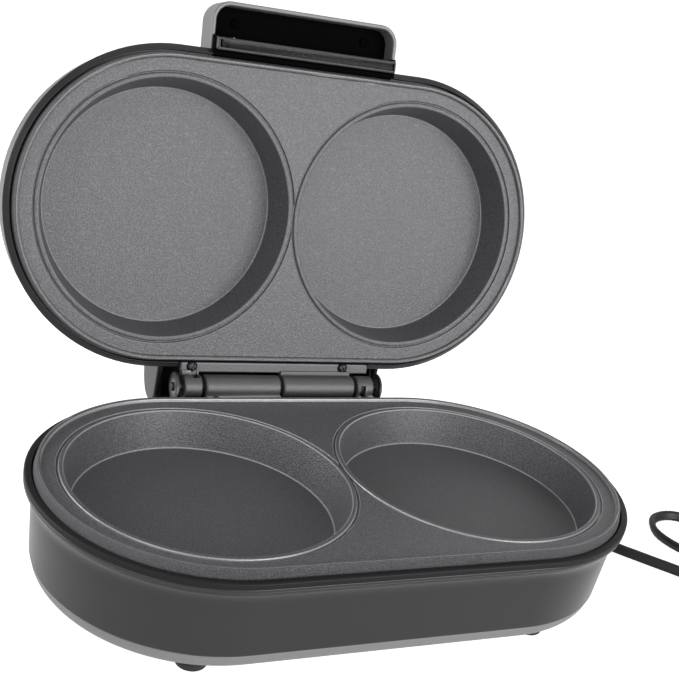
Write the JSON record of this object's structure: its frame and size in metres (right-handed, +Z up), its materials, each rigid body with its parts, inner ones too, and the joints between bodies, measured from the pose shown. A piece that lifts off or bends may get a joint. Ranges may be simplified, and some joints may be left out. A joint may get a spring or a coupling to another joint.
{
  "type": "electric griddle",
  "caption": "Hinged electric griddle with round cooking wells in both plates, lid standing open, latch bar under the lid handle, flat lead with plug.",
  "frame": {"origin": "centre of the appliance's box, on the surface it stands on, the lead and plug left out", "axes": "+X along the hinge to the right as seen from the front, +Y towards the hinge and the back, +Z up"},
  "size_m": [0.5374, 0.3261, 0.2561],
  "materials": {
    "housing": "dark grey, satin gloss",
    "cover": "grey, fine texture",
    "black_plastic": "black, matt",
    "coated_plate": "dark grey metallic non-stick coating",
    "steel": "plain bright steel",
    "ceramic": "off-white heatproof moulding",
    "cast_alloy": "grey cast, painted satin",
    "black_screw": "blackened",
    "rubber": "matt black",
    "cord_black": "black, slightly shiny",
    "brass": "bright",
    "red_lens": "clear red",
    "green_lens": "clear green",
    "lamp": "small lamp in a sleeve"
  },
  "bodies": {
    "base": {"base_shell": "housing", "base_bottom_cover": "cover", "base_bezel": "black_plastic", "lower_cooking_plate": "coated_plate", "lower_heating_element": "steel", "lower_reflector": "steel", "thermostat": "ceramic", "thermal_fuse": "steel", "terminal_block": "ceramic", "cord_clamp": "black_plastic", "base_hinge_leaf": "cast_alloy", "hinge_pin": "steel", "hinge_disc_left": "steel", "hinge_disc_right": "steel", "base_hinge_screw_left": "black_screw", "base_hinge_screw_right": "black_screw", "foot_front_left": "rubber", "foot_screw_front_left": "steel", "foot_front_right": "rubber", "foot_screw_front_right": "steel", "foot_back_left": "rubber", "foot_screw_back_left": "steel", "foot_back_right": "rubber", "foot_screw_back_right": "steel", "strain_relief": "cord_black", "power_cord": "cord_black", "cord_coil": "cord_black", "cord_tail": "cord_black", "plug_body": "cord_black", "plug_pin_left": "brass", "plug_pin_right": "brass"},
    "lid": {"lid_shell": "housing", "lid_bezel": "black_plastic", "upper_cooking_plate": "coated_plate", "upper_heating_element": "steel", "upper_reflector": "steel", "lid_hinge_leaf": "cast_alloy", "lid_hinge_screw_left": "black_screw", "lid_hinge_screw_right": "black_screw", "hinge_hood_liner": "black_plastic", "handle_shell": "housing", "handle_insert": "black_plastic", "handle_screw_left": "black_screw", "handle_screw_right": "black_screw", "indicator_lens_power": "red_lens", "indicator_lens_ready": "green_lens", "indicator_lamp_power": "lamp", "indicator_lamp_ready": "lamp", "latch_pin": "steel", "latch_spring": "steel"},
    "latch": {"latch_bar": "cast_alloy"}
  },
  "joints": [
    {"name": "lid_hinge", "type": "hinge", "parent": "base", "child": "lid", "pos_m": [0, 0.05108, 0.0603], "axis": [1, 0, 0], "range_deg": [0, 102.35]},
    {"name": "latch_pivot", "type": "hinge", "parent": "lid", "child": "latch", "pos_m": [0, 0.1012, 0.23543], "axis": [-1, 0, 0], "range_deg": [0, 15], "stiffness_Nm_per_rad": 0.02, "springref_deg": -11.46}
  ]
}
